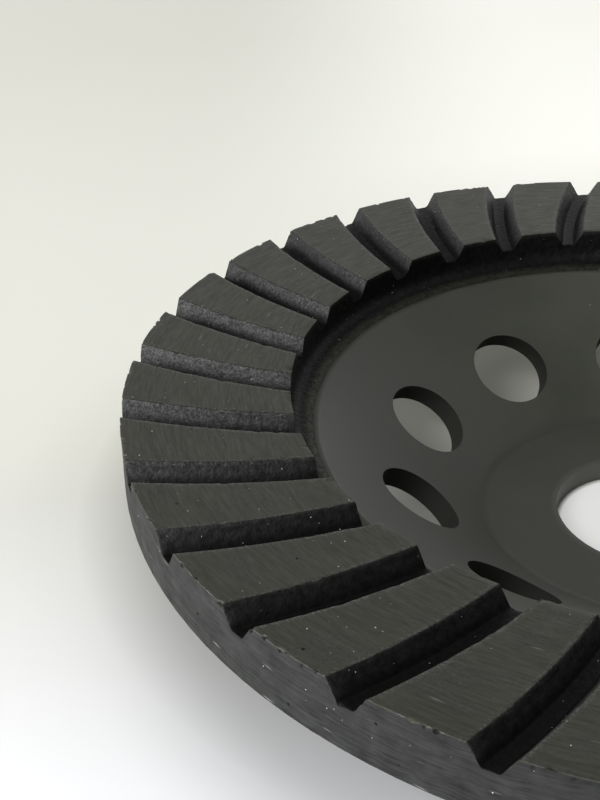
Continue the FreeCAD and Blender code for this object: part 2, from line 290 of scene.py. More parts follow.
# %% Path of a groove
OUTER_RADIUS = 62.5
RIM_WIDTH = 19.25
INNER_RADIUS = OUTER_RADIUS - RIM_WIDTH
PACKED_HEIGHT = 20.5
SEAT_HEIGHT = 15.5
GROOVE_COUNT = 30
GROOVE_SLANT = math.radians(18)
GROOVE_BOW = 85.0
GROOVE_OFFSET = math.radians(9.0)
PITCH = 2 * math.pi / GROOVE_COUNT

middle = OUTER_RADIUS - RIM_WIDTH / 2
bow_centre = Vector((
    middle - GROOVE_BOW * math.sin(GROOVE_SLANT), -GROOVE_BOW * math.cos(GROOVE_SLANT)))
bow_distance = bow_centre.length
bow_bearing = math.atan2(bow_centre.y, bow_centre.x)


def bearing_of(radius, across):
    """Bearing of the point at this radius and this far across the first groove's path."""
    reach = GROOVE_BOW + across
    cosine = (radius**2 + bow_distance**2 - reach**2) / (2 * radius * bow_distance)
    return GROOVE_OFFSET + bow_bearing + math.acos(cosine)


print("groove bearing at the outer and inner wall:",
      [round(math.degrees(bearing_of(radius, 0)), 1) for radius in (OUTER_RADIUS, INNER_RADIUS)])

# %% Section of a groove
GROOVE_WIDTH = 3.9
GROOVE_FLOOR_WIDTH = 1.5
GROOVE_DEPTH = 2.15
GROOVE_FLOOR_RADIUS = 0.3
EDGE_WEAR = 0.08
WORN_ACROSS, WORN_DOWN = 0.25, 0.28
CORNER_STEPS = 2
WALL_STEPS = 6
draft = math.atan((GROOVE_WIDTH - GROOVE_FLOOR_WIDTH) / 2 / GROOVE_DEPTH)
corner_reach = GROOVE_FLOOR_RADIUS * math.tan((math.pi / 2 - draft) / 2)
floor_flat = GROOVE_FLOOR_WIDTH / 2 - corner_reach

# Half of the section, from the middle of the floor to the land, as (across, depth)
half_section = [(0.0, GROOVE_DEPTH)]
for step in range(CORNER_STEPS + 1):
    angle = (math.pi / 2 - draft) * step / CORNER_STEPS
    half_section.append((
        floor_flat + GROOVE_FLOOR_RADIUS * math.sin(angle),
        GROOVE_DEPTH - GROOVE_FLOOR_RADIUS * (1 - math.cos(angle))))
wall_foot = half_section[-1]
wall_head = (GROOVE_WIDTH / 2 - EDGE_WEAR * math.sin(draft), EDGE_WEAR * math.cos(draft))
for step in range(1, WALL_STEPS + 1):
    share = step / WALL_STEPS
    half_section.append(tuple(
        low + (high - low) * share for low, high in zip(wall_foot, wall_head)))
half_section.append((GROOVE_WIDTH / 2 + EDGE_WEAR * WORN_ACROSS, EDGE_WEAR * WORN_DOWN))
half_section.append((GROOVE_WIDTH / 2 + EDGE_WEAR, 0.0))

columns = [(-across, depth) for across, depth in reversed(half_section[1:])] + half_section
print("draft in degrees:", round(math.degrees(draft), 1), "columns in a groove:", len(columns))

# %% [markdown]
# ## Rows of the ring
# Around the ring each column starts on the face, at the outer wall, and runs in over the face to the
# inner wall, down that wall, over the root fillet and the thin foot. The face's outer and inner edges
# get a small worn radius. Rows lie closest together near the outer edge, where the chips are. The face
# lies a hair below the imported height, which leaves room for the grit that stands out of it.

# %% Rows across the ring
FACE_ROWS = 36
ROW_CROWDING = 1.2
BAND_ROWS = 9
WALL_ROWS = 5
FILLET_STEPS = 5
FOOT_WIDTH = 2.7
FOOT_HEIGHT = 0.5
# Points of the foot's worn edge, as (in from the edge, below the top)
FOOT_BEVEL = ((0.9, 0.02), (0.5, 0.12), (0.15, 0.34))
ROOT_RADIUS = 1.6
GRIT_PROUD = 0.04
FACE_HEIGHT = PACKED_HEIGHT - GRIT_PROUD
foot_edge = INNER_RADIUS - FOOT_WIDTH
foot_top = SEAT_HEIGHT + FOOT_HEIGHT

# Face rows as (radius, drop below the section)
face_rows = [(OUTER_RADIUS, EDGE_WEAR), (OUTER_RADIUS - EDGE_WEAR * WORN_DOWN, EDGE_WEAR * WORN_DOWN)]
for step in range(FACE_ROWS + 1):
    share = (step / FACE_ROWS) ** ROW_CROWDING
    face_rows.append((OUTER_RADIUS - EDGE_WEAR - (RIM_WIDTH - 2 * EDGE_WEAR) * share, 0.0))
face_rows.append((INNER_RADIUS + EDGE_WEAR * WORN_DOWN, EDGE_WEAR * WORN_DOWN))
face_rows.append((INNER_RADIUS, EDGE_WEAR))

# Rows below the inner wall, as (radius, height): the fillet and the foot
root_rows = []
for step in range(FILLET_STEPS + 1):
    angle = math.pi / 2 * step / FILLET_STEPS
    root_rows.append((
        INNER_RADIUS - ROOT_RADIUS * (1 - math.cos(angle)),
        foot_top + ROOT_RADIUS * (1 - math.sin(angle))))
root_rows += [(foot_edge + inwards, foot_top - fall) for inwards, fall in FOOT_BEVEL]
root_rows.append((foot_edge, SEAT_HEIGHT))
print("rows on the face:", len(face_rows), "rows on the root:", len(root_rows))

# %% [markdown]
# ## Grain, crumbs and chips
# Sintered composite is grainy, and its sharp edges lose small crumbs. The outer edge has pits of
# about half a millimetre where whole grains have broken out. Noise in millimetres moves the points.
# Voronoi cells place the pits, one in each cell that the edge happens to cross near its centre.
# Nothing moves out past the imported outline.

# %% Noise in millimetres
WALL_ROUGHNESS = 0.035
WALL_LUMP = 0.7
BAND_ROUGHNESS = 0.03
EDGE_CRUMB = 0.34
# Size in millimetres, share and seed of the two noises that crumble an edge
CRUMB_NOISES = ((1.9, 0.6, 7.0), (0.6, 0.7, 10.0))
CRUMB_THRESHOLD = 0.12
CHIP_SPACING = 0.95
CHIP_WIDTH = 0.66
CHIP_DEPTH = 0.36
CHIP_REACH = 0.4
CHIP_DROP = 0.9
CHIP_SIDEWAYS = 0.5
SEED_STEP = Vector((1.0, 17.0, -9.0))


def grain(point, size, seed):
    """Smooth noise from -1 to 1 with bumps of this size, in millimetres."""
    return noise.noise(point / size + SEED_STEP * seed)


def crumb(point):
    """How far an edge has crumbled here, from 0 to about 1; mostly little."""
    crumbled = sum(share * grain(point, size, seed) for size, share, seed in CRUMB_NOISES)
    return max(0.0, crumbled - CRUMB_THRESHOLD)


def chip(point):
    """How deep the nearest broken-out pit is here, from 0 to 1."""
    distance = noise.voronoi(point / CHIP_SPACING)[0][0] * CHIP_SPACING
    return max(0.0, 1.0 - (2 * distance / CHIP_WIDTH) ** 2)


print("chip at the outer edge:", round(chip(Vector((OUTER_RADIUS, 0, FACE_HEIGHT))), 3))

# %% Columns and wear
LAND_STEPS = 26
WEAR_REACH = 0.55
WEAR_PAST_RIM = 0.4


def columns_of(groove):
    """Each column of this groove and the land after it, as (bearing at a radius, depth, land share)."""
    turn = groove * PITCH
    for across, depth in columns:
        yield (lambda radius, across=across: turn + bearing_of(radius, across)), depth, 0.0
    last, first = columns[-1][0], columns[0][0]
    for step in range(1, LAND_STEPS + 1):
        share = step / (LAND_STEPS + 1)
        yield (lambda radius, share=share: turn + bearing_of(radius, last) * (1 - share)
               + (PITCH + bearing_of(radius, first)) * share), 0.0, min(share, 1 - share)


def land_width(radius):
    """Width of a land between two grooves, in millimetres along the ring."""
    return radius * (PITCH + bearing_of(radius, columns[0][0]) - bearing_of(radius, columns[-1][0]))


def sunk(depth):
    """How deep in a groove the point is, from 0 on the land to 1 on the floor."""
    return min(1.0, depth / GROOVE_DEPTH)


def worn(depth, land_share, radius):
    """How worn the point is, from 1 on an edge to 0 well away from all edges."""
    from_groove = land_share * land_width(radius) if depth == 0.0 else 2 * depth
    from_rim = min(OUTER_RADIUS - radius, radius - INNER_RADIUS)
    return max(0.0, 1.0 - min(from_groove, from_rim + WEAR_PAST_RIM) / WEAR_REACH)


def broken_out(point):
    """How deep a chip is here, from 0 to 1, on the face or the band near the outer edge."""
    from_edge = (OUTER_RADIUS - math.hypot(point.x, point.y)) / CHIP_REACH
    return chip(point) * max(0.0, 1.0 - from_edge - (FACE_HEIGHT - point.z) / CHIP_DROP)


print("land width at the outer wall, mm:", round(land_width(OUTER_RADIUS), 2))

# %% Moving a point
SMOOTH_DEPTH = 0.02
CRUMB_DEPTH = 0.5
RIM_CRUMB_WIDTH = 0.2
WALL_SIDEWAYS_SEED, WALL_HEIGHT_SEED = 2.0, 5.0


def round_axis(radius, angle, height):
    """The point at this radius, bearing and height."""
    return Vector((radius * math.cos(angle), radius * math.sin(angle), height))


def roughened(point, depth, in_groove):
    """The point of the face or a groove, moved by grain, and by crumbs and chips near an edge."""
    spoke = Vector((point.x, point.y, 0)).normalized()
    radius = math.hypot(point.x, point.y)
    from_outside = OUTER_RADIUS - radius
    moved = point.copy()
    if depth > SMOOTH_DEPTH:
        amount = WALL_ROUGHNESS * min(1.0, depth / CRUMB_DEPTH)
        sideways = Vector((spoke.y, -spoke.x, 0))
        moved += sideways * grain(point, WALL_LUMP, WALL_SIDEWAYS_SEED) * amount
        moved.z += grain(point, WALL_LUMP, WALL_HEIGHT_SEED) * amount
    near_rim = min(from_outside, radius - INNER_RADIUS) < RIM_CRUMB_WIDTH
    if near_rim or (in_groove and depth <= CRUMB_DEPTH):
        moved.z -= EDGE_CRUMB * crumb(point)
    if from_outside < CHIP_REACH:
        broken = CHIP_DEPTH * chip(point) * (1 - from_outside / CHIP_REACH)
        moved.z -= broken
        moved -= spoke * broken * CHIP_SIDEWAYS
    return moved


edge_point = round_axis(OUTER_RADIUS, 0, FACE_HEIGHT)
print("a point of the outer edge moves by, mm:",
      round((roughened(edge_point, 0.0, False) - edge_point).length, 3))

# %% [markdown]
# ## The ring's points and faces
# Each column is worked out point by point and joined to the next one by four-sided faces. Sculpting
# could give the same wear, but numbers can be changed and run again. Three values are kept with every
# point, for the finishes to read: how worn it is, how deep it lies in a groove, which sets its painted
# shade (the inner wall and root get a fixed share of that shade), and how deep a chip is there.

# %% Points of the ring
# Share of painted shade on the inner wall, root and foot, which lie in shade below the face
INNER_PAINTED_SHADE = 0.76
BAND_TOP_WEAR = 0.5
ring_points = []
ring_wear = []
ring_depth_and_shade = []
ring_chips = []
for groove in range(GROOVE_COUNT):
    for bearing, depth, land_share in columns_of(groove):
        column = []
        for radius, drop in face_rows:
            point = round_axis(radius, bearing(radius), FACE_HEIGHT - depth - drop)
            column.append(roughened(point, depth, land_share == 0.0))
            ring_wear.append(worn(depth, land_share, radius))
            ring_depth_and_shade.append(sunk(depth))
            ring_chips.append(broken_out(point))
        outer_top, inner_top = column[0].z, column[-1].z
        outer_angle, inner_angle = bearing(OUTER_RADIUS), bearing(INNER_RADIUS)
        for step in range(1, WALL_ROWS):
            height = inner_top + (foot_top + ROOT_RADIUS - inner_top) * step / WALL_ROWS
            column.append(round_axis(INNER_RADIUS, inner_angle, height))
        for radius, height in root_rows:
            column.append(round_axis(radius, inner_angle, height))
        for step in range(BAND_ROWS, 0, -1):
            height = outer_top + (SEAT_HEIGHT - outer_top) * (step / BAND_ROWS) ** ROW_CROWDING
            column.append(round_axis(OUTER_RADIUS, outer_angle, height))
        below_face = len(column) - len(face_rows)
        ring_wear += [0.0] * (below_face - 1) + [BAND_TOP_WEAR]
        # The inner wall, root and foot get a fixed share of painted shade, and the band gets none
        ring_depth_and_shade += [INNER_PAINTED_SHADE] * (below_face - BAND_ROWS) + [0.0] * BAND_ROWS
        ring_chips += [0.0] * (below_face - BAND_ROWS)
        ring_chips += [broken_out(point) for point in column[-BAND_ROWS:]]
        ring_rows = len(column)
        ring_points += column
print("points in the ring:", len(ring_points), "in a column:", ring_rows)

# %% Grain on the inner wall, the root and the band
TOUCHING = 0.01
BAND_SEED, ROOT_SIDEWAYS_SEED, ROOT_HEIGHT_SEED = 11.0, 13.0, 19.0
for index, point in enumerate(ring_points):
    row = index % ring_rows
    if row < len(face_rows) or point.z < SEAT_HEIGHT + TOUCHING:
        continue
    spoke = Vector((point.x, point.y, 0)).normalized()
    if math.hypot(point.x, point.y) > OUTER_RADIUS - TOUCHING:
        near_top = max(0.0, 1.0 - (FACE_HEIGHT - point.z) / CHIP_DROP)
        point -= spoke * (BAND_ROUGHNESS * (1 + grain(point, 1.0, BAND_SEED))
                          + CHIP_DEPTH * CHIP_SIDEWAYS * chip(point) * near_top)
    else:
        point += spoke * grain(point, WALL_LUMP, ROOT_SIDEWAYS_SEED) * WALL_ROUGHNESS * 2
        point.z += grain(point, WALL_LUMP, ROOT_HEIGHT_SEED) * WALL_ROUGHNESS

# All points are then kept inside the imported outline
for point in ring_points:
    over = max(1.0, math.hypot(point.x, point.y) / OUTER_RADIUS)
    point.x /= over
    point.y /= over
    point.z = min(FACE_HEIGHT, max(SEAT_HEIGHT, point.z))
print("highest point, mm:", round(max(point.z for point in ring_points), 3))

# %% Faces of the ring
FACE, WALL, BAND = range(3)
ring_columns = len(ring_points) // ring_rows
columns_per_groove = ring_columns // GROOVE_COUNT
ring_faces = []
finish_of_face = []
for column in range(ring_columns):
    following = (column + 1) % ring_columns
    on_land = column % columns_per_groove >= len(columns) - 1
    for row in range(ring_rows):
        below = (row + 1) % ring_rows
        ring_faces.append((
            column * ring_rows + row, following * ring_rows + row,
            following * ring_rows + below, column * ring_rows + below))
        if row < len(face_rows) - 1:
            finish_of_face.append(FACE if on_land else WALL)
        elif row < len(face_rows) + WALL_ROWS - 1 + len(root_rows):
            finish_of_face.append(WALL)
        else:
            finish_of_face.append(BAND)

ring_mesh = bpy.data.meshes.new("sintered_ring")
ring_mesh.from_pydata([point * MM for point in ring_points], [], ring_faces)
ring_mesh.update()
for name, values in (("wear", ring_wear), ("depth", ring_depth_and_shade), ("chips", ring_chips)):
    ring_mesh.attributes.new(name, "FLOAT", "POINT").data.foreach_set("value", values)
print("triangles in the ring:", 2 * len(ring_faces))

# %% [markdown]
# ## Grit crystals
# Diamond grit of a quarter to a third of a millimetre sits in the bond, and the largest crystals glint
# as white specks all over the ring. Each is a low, uneven crystal, sunk into the surface so that only
# its top shows. They're scattered over the ring's faces by area, from a fixed seed.

# %% Crystals
GRIT_COUNT = 1100
GRIT_SMALLEST, GRIT_LARGEST = 0.09, 0.36
GRIT_FLATNESS = 0.3
GRIT_NARROWEST = 0.6
GRIT_UNEVENNESS = 0.75
GRIT_SEED = 3
picker = random.Random(GRIT_SEED)
grit_shape = bmesh.new()
face_areas = [polygon.area for polygon in ring_mesh.polygons]
for chosen in picker.choices(range(len(face_areas)), weights=face_areas, k=GRIT_COUNT):
    polygon = ring_mesh.polygons[chosen]
    width = GRIT_SMALLEST + (GRIT_LARGEST - GRIT_SMALLEST) * picker.random() ** 2
    half_height = width * GRIT_FLATNESS
    centre = polygon.center / MM + polygon.normal * (GRIT_PROUD - half_height)
    lie = polygon.normal.to_track_quat("Z", "Y").to_matrix().to_4x4()
    spin = Matrix.Rotation(picker.uniform(0, math.tau), 4, "Z")
    narrow = picker.uniform(GRIT_NARROWEST, 1.0)
    squash = Matrix.Diagonal((width / 2, width / 2 * narrow, half_height, 1.0))
    crystal = bmesh.ops.create_icosphere(
        grit_shape, subdivisions=1, radius=1.0, matrix=Matrix.Translation(centre) @ lie @ spin @ squash)
    for corner in crystal["verts"]:
        corner.co = centre + (corner.co - centre) * picker.uniform(GRIT_UNEVENNESS, 1.0)
for corner in grit_shape.verts:
    over = max(1.0, math.hypot(corner.co.x, corner.co.y) / OUTER_RADIUS)
    corner.co.x /= over
    corner.co.y /= over
    corner.co.z = min(PACKED_HEIGHT, corner.co.z)
    corner.co *= MM
grit_mesh = bpy.data.meshes.new("grit_crystals")
grit_shape.to_mesh(grit_mesh)
grit_shape.free()
print("crystals:", GRIT_COUNT, "triangles:", len(grit_mesh.polygons))

# %% [markdown]
# ## Sintered composite, in three finishes
# The ring is one material: diamond grit in a dark sintered metal bond, under a thin spray of the
# cup's enamel. How each surface was made changes what the eye sees. The face is ground flat, which
# leaves short marks that follow the wheel's turning. The groove walls and the root are as they came
# from the mould, finely grainy and dark, and painted darker still as shade in their depth. The outer
# band is turned: an even grey, with scratches, pits and chips.

# %% Shared pattern helpers
LEVEL = (1, 1, 0)
# Most values of a noise lie between these two
NOISE_MIDDLE = (0.36, 0.64)
# A chip's painted shade shows from the first of these depths on, and is darkest from the second
CHIP_SHOWS = (0.15, 0.45)


def axis_distance(tree, place):
    """How far the place is from the wheel's axis, in metres."""
    flat = add_node(tree, VECTOR, [place, LEVEL], operation="MULTIPLY")
    return add_node(tree, VECTOR, [flat], operation="LENGTH")


def spoke_of(tree, place):
    """The direction from the wheel's axis out to the place."""
    flat = add_node(tree, VECTOR, [place, LEVEL], operation="MULTIPLY")
    return add_node(tree, VECTOR, [flat], operation="NORMALIZE")


def wandering(tree, place, reach, size):
    """The place, shifted by smooth noise by up to this reach over this size, both in millimetres."""
    drift = add_node(
        tree, NOISE, {"Vector": place, "Scale": 1 / (size * MM), "Detail": 1.0}, output="Color")
    return add_node(tree, VECTOR, [drift, (reach * MM,) * 3, place], operation="MULTIPLY_ADD")


def round_the_wheel(tree, place, width, length, across):
    """A place whose cells are this wide across the marks, and this long along the wheel's turning."""
    if across == "radius":
        distance = axis_distance(tree, place)
    else:
        distance = add_node(tree, SPLIT, [place], output="Z")
    turned = add_node(tree, VECTOR, [spoke_of(tree, place), middle / length], operation="SCALE")
    scaled = add_node(tree, MATH, [distance, 1 / (width * MM)], operation="MULTIPLY")
    lifted = add_node(tree, "ShaderNodeCombineXYZ", {"Z": scaled})
    return add_node(tree, VECTOR, [turned, lifted], operation="ADD")


def spots(tree, place, scale, reach, share, softness=0.4):
    """A mask of spots: this many cells a unit, a spot's reach in cells, the share of cells with one."""
    cells = add_node(tree, "ShaderNodeTexVoronoi", {"Vector": place, "Scale": scale}).node.outputs
    disc = add_node(tree, RANGE, [cells["Distance"], reach * (1 - softness), reach, 1.0, 0.0])
    drawn = add_node(tree, "ShaderNodeSeparateColor", [cells["Color"]])
    kept = add_node(tree, MATH, [drawn, share], operation="LESS_THAN")
    return add_node(tree, MATH, [disc, kept], operation="MULTIPLY")


def streaks(tree, place, width, length, across):
    """Noise that is drawn out along the wheel's turning, as a value about 0.5."""
    return add_node(tree, NOISE, {
        "Vector": round_the_wheel(tree, place, width, length, across),
        "Scale": 1.0, "Detail": 2.0, "Roughness": 0.55}, output="Fac")


print("lengths along the turning are true at a radius of, mm:", middle)

# %% [markdown]
# ## The ground face
# The face is trued by grinding. The marks that this leaves are some hundredths of a millimetre wide,
# which is too fine for the picture, so they're drawn 0.28 mm wide. They break up where the grit
# stands, and single scratches run along with them. An image of a ground surface would have to be bent
# round the wheel, and noise that is drawn out along the turning needs no bending.

# %% Marks on the face
STREAK_WIDTH, STREAK_LENGTH = 0.28, 2.6
TIMES_BROADER, TIMES_LONGER = 3, 2.5
BROAD_SHARE, FINE_SHARE = 0.25, 0.75
MARKS_BEND, BEND_LENGTH = 0.4, 6.0
GRIT_GRAIN = 0.3
BLOTCH_SIZE = 5.0
ground, tree, shader = new_material("ground_sintered_face", {"Metallic": 0.7})
place = add_node(tree, "ShaderNodeTexCoord", output="Object")
bent = wandering(tree, place, MARKS_BEND, BEND_LENGTH)

# Grinding marks, combed in some places and broken up by the grit in others
fine = streaks(tree, bent, STREAK_WIDTH, STREAK_LENGTH, "radius")
broad = streaks(tree, bent, STREAK_WIDTH * TIMES_BROADER, STREAK_LENGTH * TIMES_LONGER, "radius")
gritty = add_node(tree, NOISE, {
    "Vector": place, "Scale": 1 / (GRIT_GRAIN * MM), "Detail": 2.0, "Roughness": 0.7}, output="Fac")
blotch = add_node(tree, NOISE, {
    "Vector": place, "Scale": 1 / (BLOTCH_SIZE * MM), "Detail": 3.0}, output="Fac")
combed = add_node(tree, RANGE, [blotch, 0.35, 0.65, 0.45, 0.85])
broad_part = add_node(tree, MATH, [broad, BROAD_SHARE], operation="MULTIPLY")
gritty_part = add_node(tree, MATH, [gritty, FINE_SHARE], operation="MULTIPLY")
fine_part = add_node(tree, MATH, [fine, FINE_SHARE], operation="MULTIPLY")
fine_marks = add_node(tree, MIX, [combed, gritty_part, fine_part])
marks = add_node(tree, MATH, [broad_part, fine_marks], operation="ADD")
print("ground face: marks of", STREAK_WIDTH, "by", STREAK_LENGTH, "mm")

# %% Colour of the face
CLOUD_STRENGTH = 0.6
SCRATCH_WIDTH, SCRATCH_LENGTH = 0.6, 4.5
SCRATCH_REACH, SCRATCH_SHARE, SCRATCH_SOFTNESS = 0.2, 0.17, 0.7
SCRATCH_STRENGTH = 0.7
light_marks = add_node(tree, RANGE, [marks, *NOISE_MIDDLE])
streaked = add_node(
    tree, MIX, [light_marks, linear("#41423c"), linear("#575951")], data_type="RGBA")
clouds = add_node(tree, RANGE, [blotch, 0.35, 0.75, 0.0, CLOUD_STRENGTH])
clouded = add_node(tree, MIX, [clouds, streaked, linear("#504e46")], data_type="RGBA")
scratch_place = round_the_wheel(tree, bent, SCRATCH_WIDTH, SCRATCH_LENGTH, "radius")
scratch = spots(tree, scratch_place, 1.0, SCRATCH_REACH, SCRATCH_SHARE, SCRATCH_SOFTNESS)
scratch_part = add_node(tree, MATH, [scratch, SCRATCH_STRENGTH], operation="MULTIPLY")
scratched = add_node(tree, MIX, [scratch_part, clouded, linear("#858680")], data_type="RGBA")
print("scratches of", SCRATCH_WIDTH, "by", SCRATCH_LENGTH, "mm")

# %% Edges and pits of the face
FACE_PIT_SPACING, FACE_PIT_REACH, FACE_PIT_SHARE = 1.7, 0.13, 0.08
MARK_DEPTH, MARK_STRENGTH = 0.05, 0.5
# Edges are rubbed pale where the grit stands out, and dark where crumbs are. Pits and chips are painted
# dark, as the shade inside them
wear = add_node(tree, "ShaderNodeAttribute", output="Fac", attribute_name="wear")
standing = add_node(tree, RANGE, [gritty, 0.48, 0.64])
paler_at_edges = add_node(tree, MATH, [wear, standing], operation="MULTIPLY")
edged = add_node(tree, MIX, [paler_at_edges, scratched, linear("#6d6e68")], data_type="RGBA")
hollow = add_node(tree, MATH, [wear, gritty], operation="SUBTRACT")
crumbs = add_node(tree, RANGE, [hollow, 0.54, 0.62])
crumbled = add_node(tree, MIX, [crumbs, edged, linear("#30302e")], data_type="RGBA")
chips = add_node(tree, "ShaderNodeAttribute", output="Fac", attribute_name="chips")
chipped = add_node(tree, RANGE, [chips, *CHIP_SHOWS])
pits = spots(tree, place, 1 / (FACE_PIT_SPACING * MM), FACE_PIT_REACH, FACE_PIT_SHARE)
pit = add_node(tree, MATH, [pits, chipped], operation="MAXIMUM")
# Pits and chips are real hollows, and their dark colour is painted shade
pit_shaded = add_node(tree, MIX, [pit, crumbled, linear("#1c1c1a")], data_type="RGBA")

relief = add_node(tree, MATH, [marks, pit], operation="SUBTRACT")
feed(tree, shader, {
    "Base Color": pit_shaded,
    "Roughness": add_node(tree, RANGE, [fine, 0.3, 0.7, 0.62, 0.5]),
    "Normal": add_node(tree, "ShaderNodeBump", {
        "Height": relief, "Strength": MARK_STRENGTH, "Distance": MARK_DEPTH * MM}),
})
print("ground face: material", ground.name)

# %% [markdown]
# ## The moulded walls
# The mould leaves the powder's own grain on the groove walls and the root, and their depth is painted
# dark as shade. The powder is finer than a tenth of a millimetre, so its grain is drawn 0.27 mm wide,
# as coarse as it needs to be to show. Lumps 0.7 mm wide lie over it, as wide as those that move the
# mesh. Dust from grinding lies on the thin foot.

# %% Grain of the walls
WALL_GRAIN = 0.27
GRAIN_SHARE, LUMP_SHARE = 0.4, 0.6
WALL_RELIEF, WALL_STRENGTH = 0.12, 0.9
walls, tree, shader = new_material("moulded_sintered_wall", {"Metallic": 0.9})
place = add_node(tree, "ShaderNodeTexCoord", output="Object")

# Grain from the mould, in the colour and in the relief
grains = add_node(tree, NOISE, {
    "Vector": place, "Scale": 1 / (WALL_GRAIN * MM), "Detail": 2.0, "Roughness": 0.6}, output="Fac")
lumps = add_node(tree, NOISE, {
    "Vector": place, "Scale": 1 / (WALL_LUMP * MM), "Detail": 1.0}, output="Fac")
grain_part = add_node(tree, MATH, [grains, GRAIN_SHARE], operation="MULTIPLY")
lump_part = add_node(tree, MATH, [lumps, LUMP_SHARE], operation="MULTIPLY")
relief = add_node(tree, MATH, [grain_part, lump_part], operation="ADD")
high_grains = add_node(tree, RANGE, [relief, *NOISE_MIDDLE])
grainy = add_node(
    tree, MIX, [high_grains, linear("#2f2f2e"), linear("#434344")], data_type="RGBA")
print("walls: grain of", WALL_GRAIN, "and lumps of", WALL_LUMP, "mm")

# %% Edges, painted shade and dust on the walls
EDGE_RUB, GROOVE_SHADE_STRENGTH = 0.45, 0.85
DUST_BEGINS, DUST_FULL = INNER_RADIUS - 1.3, INNER_RADIUS - 1.7
WALL_DUST_SPACING, WALL_DUST_REACH, WALL_DUST_SHARE = 0.9, 0.16, 0.2
# Edges are rubbed paler, and the bottom of a groove is painted dark as shade
wear = add_node(tree, "ShaderNodeAttribute", output="Fac", attribute_name="wear")
standing = add_node(tree, RANGE, [grains, 0.4, 0.65, 0.0, EDGE_RUB])
paler_at_edges = add_node(tree, MATH, [wear, standing], operation="MULTIPLY")
edged = add_node(tree, MIX, [paler_at_edges, grainy, linear("#5d5e5a")], data_type="RGBA")
depth = add_node(tree, "ShaderNodeAttribute", output="Fac", attribute_name="depth")
groove_shade = add_node(tree, RANGE, [depth, 0.45, 0.95, 0.0, GROOVE_SHADE_STRENGTH])
groove_shaded = add_node(tree, MIX, [groove_shade, edged, linear("#131312")], data_type="RGBA")

# Grinding dust lies on the thin foot
uneven = add_node(tree, MATH, [lumps, grains], operation="ADD")
dusted = add_node(tree, RANGE, [uneven, 0.8, 1.2, 0.35, 0.95])
foot = add_node(
    tree, RANGE, [axis_distance(tree, place), DUST_FULL * MM, DUST_BEGINS * MM, 1.0, 0.0])
on_foot = add_node(tree, MATH, [dusted, foot], operation="MULTIPLY")
footed = add_node(tree, MIX, [on_foot, groove_shaded, linear("#45453d")], data_type="RGBA")
dust = spots(tree, place, 1 / (WALL_DUST_SPACING * MM), WALL_DUST_REACH, WALL_DUST_SHARE)
foot_dust = add_node(tree, MATH, [dust, on_foot], operation="MULTIPLY")
specked = add_node(tree, MIX, [foot_dust, footed, linear("#85857c")], data_type="RGBA")

feed(tree, shader, {
    "Base Color": specked,
    "Roughness": add_node(tree, RANGE, [grains, 0.3, 0.7, 0.7, 0.5]),
    "Normal": add_node(tree, "ShaderNodeBump", {
        "Height": relief, "Strength": WALL_STRENGTH, "Distance": WALL_RELIEF * MM}),
})
print("walls: material", walls.name)

# %% [markdown]
# ## The turned band
# The outer wall is turned together with the edge of the steel flange below it, so one function gives
# both their look. Its turning marks are drawn 0.25 mm wide, which again is coarser than real ones, so
# that they show. Grit that the tool tore out leaves small pits, painted dark as the shade inside them.
# The spray of enamel makes it a dull dielectric.

# %% Turned outer band
BAND_STREAK_WIDTH, BAND_STREAK_LENGTH = 0.25, 3.0
BAND_BEND, BAND_BEND_LENGTH = 0.7, 3.0
BAND_SCRATCH_WIDTH, BAND_SCRATCH_LENGTH = 0.6, 3.2
BAND_SCRATCH_REACH, BAND_SCRATCH_SHARE, BAND_SCRATCH_STRENGTH = 0.22, 0.24, 0.8
BAND_CLOUD = 2.2
BAND_PIT_SPACING, BAND_PIT_REACH, BAND_PIT_SHARE = 1.6, 0.15, 0.3
BAND_RELIEF, BAND_STRENGTH = 0.08, 0.6


def turned_band(tree, place):
    """The band's colour and its relief, for the ring and for the flange edge just below it."""
    bent = wandering(tree, place, BAND_BEND, BAND_BEND_LENGTH)
    fine = streaks(tree, bent, BAND_STREAK_WIDTH, BAND_STREAK_LENGTH, "height")
    soft = add_node(tree, NOISE, {
        "Vector": place, "Scale": 1 / (BAND_CLOUD * MM), "Detail": 3.0, "Roughness": 0.6},
        output="Fac")
    fine_half = add_node(tree, MATH, [fine, 0.5], operation="MULTIPLY")
    soft_half = add_node(tree, MATH, [soft, 0.5], operation="MULTIPLY")
    tone = add_node(tree, MATH, [fine_half, soft_half], operation="ADD")
    light_marks = add_node(tree, RANGE, [tone, *NOISE_MIDDLE])
    even = add_node(
        tree, MIX, [light_marks, linear("#2b2c2b"), linear("#404140")], data_type="RGBA")
    scratch_place = round_the_wheel(tree, bent, BAND_SCRATCH_WIDTH, BAND_SCRATCH_LENGTH, "height")
    scratch = spots(
        tree, scratch_place, 1.0, BAND_SCRATCH_REACH, BAND_SCRATCH_SHARE, SCRATCH_SOFTNESS)
    scratch_part = add_node(tree, MATH, [scratch, BAND_SCRATCH_STRENGTH], operation="MULTIPLY")
    scratched = add_node(tree, MIX, [scratch_part, even, linear("#757573")], data_type="RGBA")
    chips = add_node(tree, "ShaderNodeAttribute", output="Fac", attribute_name="chips")
    chipped = add_node(tree, RANGE, [chips, *CHIP_SHOWS])
    pits = spots(tree, place, 1 / (BAND_PIT_SPACING * MM), BAND_PIT_REACH, BAND_PIT_SHARE)
    pit = add_node(tree, MATH, [pits, chipped], operation="MAXIMUM")
    # The pits are real hollows, and their dark colour is painted shade
    pit_shaded = add_node(tree, MIX, [pit, scratched, linear("#181817")], data_type="RGBA")
    return pit_shaded, add_node(tree, MATH, [tone, pit], operation="SUBTRACT")


